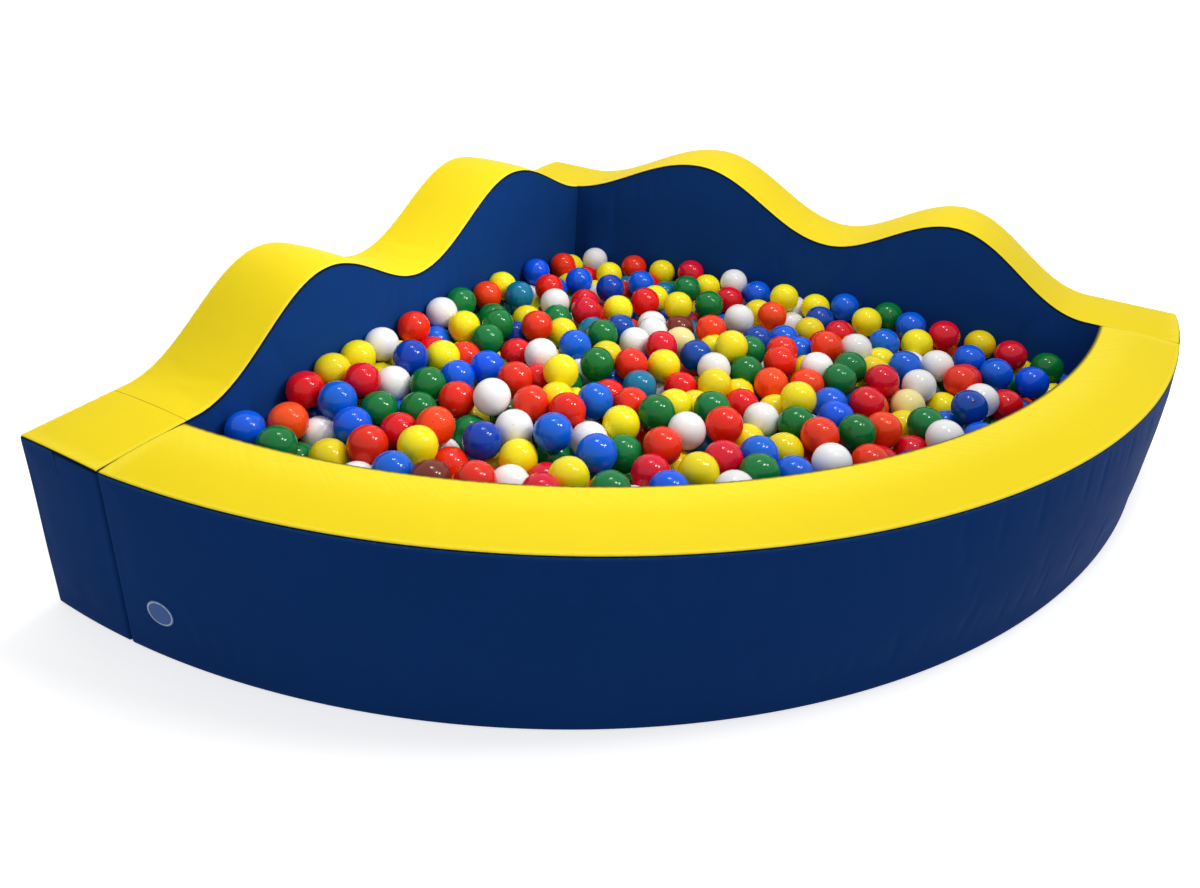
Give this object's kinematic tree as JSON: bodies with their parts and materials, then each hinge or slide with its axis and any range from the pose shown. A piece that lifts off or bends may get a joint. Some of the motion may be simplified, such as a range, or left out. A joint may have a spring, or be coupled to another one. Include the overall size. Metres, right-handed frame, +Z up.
{
  "type": "ball pit",
  "caption": "Corner ball pit of two wavy foam walls at a right angle and a low curved front block in vinyl covers, with a floor mat and filled with plastic balls",
  "frame": {"origin": "centre of the bounding box in plan, on the floor that the foam blocks and the mat stand on", "axes": "+Z up; the curved front looks towards -Y and the corner where the two walls meet points towards +Y, so +X runs to the right along the front"},
  "size_m": [2.6764, 1.9397, 0.593],
  "materials": {
    "side_vinyl": "satin",
    "top_vinyl": "satin",
    "mat_vinyl": "matte",
    "patch_vinyl": "satin",
    "foam": "matte",
    "hook_tape": "matte",
    "loop_tape": "matte",
    "zip_tape": "matte",
    "zip_metal": "satin",
    "ball_blue": "gloss",
    "ball_red": "gloss",
    "ball_orange": "gloss",
    "ball_yellow": "gloss",
    "ball_green": "gloss",
    "ball_white": "gloss"
  },
  "bodies": {
    "pit_base": {"right_wall_side_cover": "side_vinyl", "right_wall_top_cover": "top_vinyl", "right_wall_foam_core": "foam", "right_wall_zip": "zip_tape", "right_wall_loop_strip": "loop_tape", "corner_loop_strip": "loop_tape", "mat_under_cover": "mat_vinyl", "mat_foam_core": "foam", "mat_top_cover": "mat_vinyl", "ball_heap": "ball_blue"},
    "left_wall": {"left_wall_side_cover": "side_vinyl", "left_wall_top_cover": "top_vinyl", "left_wall_foam_core": "foam", "left_wall_zip": "zip_tape", "left_wall_loop_strip": "loop_tape", "corner_hook_strip": "hook_tape"},
    "front_block": {"front_side_cover": "side_vinyl", "front_top_cover": "top_vinyl", "front_foam_core": "foam", "front_zip": "zip_tape", "front_left_hook_strip": "hook_tape", "front_right_hook_strip": "hook_tape", "round_patch": "patch_vinyl"},
    "right_zip_slider": {"right_wall_zip_slider": "zip_metal"},
    "left_zip_slider": {"left_wall_zip_slider": "zip_metal"},
    "front_slider": {"front_zip_slider": "zip_metal"},
    "red_ball": {"loose_ball_red": "ball_red"},
    "yellow_ball": {"loose_ball_yellow": "ball_yellow"},
    "green_ball": {"loose_ball_green": "ball_green"},
    "white_ball": {"loose_ball_white": "ball_white"},
    "blue_ball": {"loose_ball_blue": "ball_blue"},
    "orange_ball": {"loose_ball_orange": "ball_orange"},
    "navy_ball": {"loose_ball_navy": "ball_blue"},
    "lemon_ball": {"loose_ball_lemon": "ball_yellow"}
  },
  "joints": [
    {"name": "left_wall_part", "type": "slide", "parent": "pit_base", "child": "left_wall", "axis": [-0.7071, 0.7071, 0], "range_m": [0, 0.3]},
    {"name": "front_block_pull", "type": "slide", "parent": "pit_base", "child": "front_block", "axis": [0, -1, 0], "range_m": [0, 0.5]},
    {"name": "right_zip_run", "type": "slide", "parent": "pit_base", "child": "right_zip_slider", "axis": [0.7071, -0.7071, 0], "range_m": [0, 1.18]},
    {"name": "left_zip_run", "type": "slide", "parent": "left_wall", "child": "left_zip_slider", "axis": [-0.7071, -0.7071, 0], "range_m": [0, 1.05]},
    {"name": "front_zip_run", "type": "hinge", "parent": "front_block", "child": "front_slider", "pos_m": [0, 0.83583, 0.043], "axis": [0, 0, 1], "range_deg": [0, 55.5]},
    {"name": "red_ball_lift", "type": "slide", "parent": "pit_base", "child": "red_ball", "axis": [0, 0, 1], "range_m": [0, 0.3]},
    {"name": "yellow_ball_lift", "type": "slide", "parent": "pit_base", "child": "yellow_ball", "axis": [0, 0, 1], "range_m": [0, 0.3]},
    {"name": "green_ball_lift", "type": "slide", "parent": "pit_base", "child": "green_ball", "axis": [0, 0, 1], "range_m": [0, 0.3]},
    {"name": "white_ball_lift", "type": "slide", "parent": "pit_base", "child": "white_ball", "axis": [0, 0, 1], "range_m": [0, 0.3]},
    {"name": "blue_ball_lift", "type": "slide", "parent": "pit_base", "child": "blue_ball", "axis": [0, 0, 1], "range_m": [0, 0.3]},
    {"name": "orange_ball_lift", "type": "slide", "parent": "pit_base", "child": "orange_ball", "axis": [0, 0, 1], "range_m": [0, 0.3]},
    {"name": "navy_ball_lift", "type": "slide", "parent": "pit_base", "child": "navy_ball", "axis": [0, 0, 1], "range_m": [0, 0.3]},
    {"name": "lemon_ball_lift", "type": "slide", "parent": "pit_base", "child": "lemon_ball", "axis": [0, 0, 1], "range_m": [0, 0.3]}
  ]
}
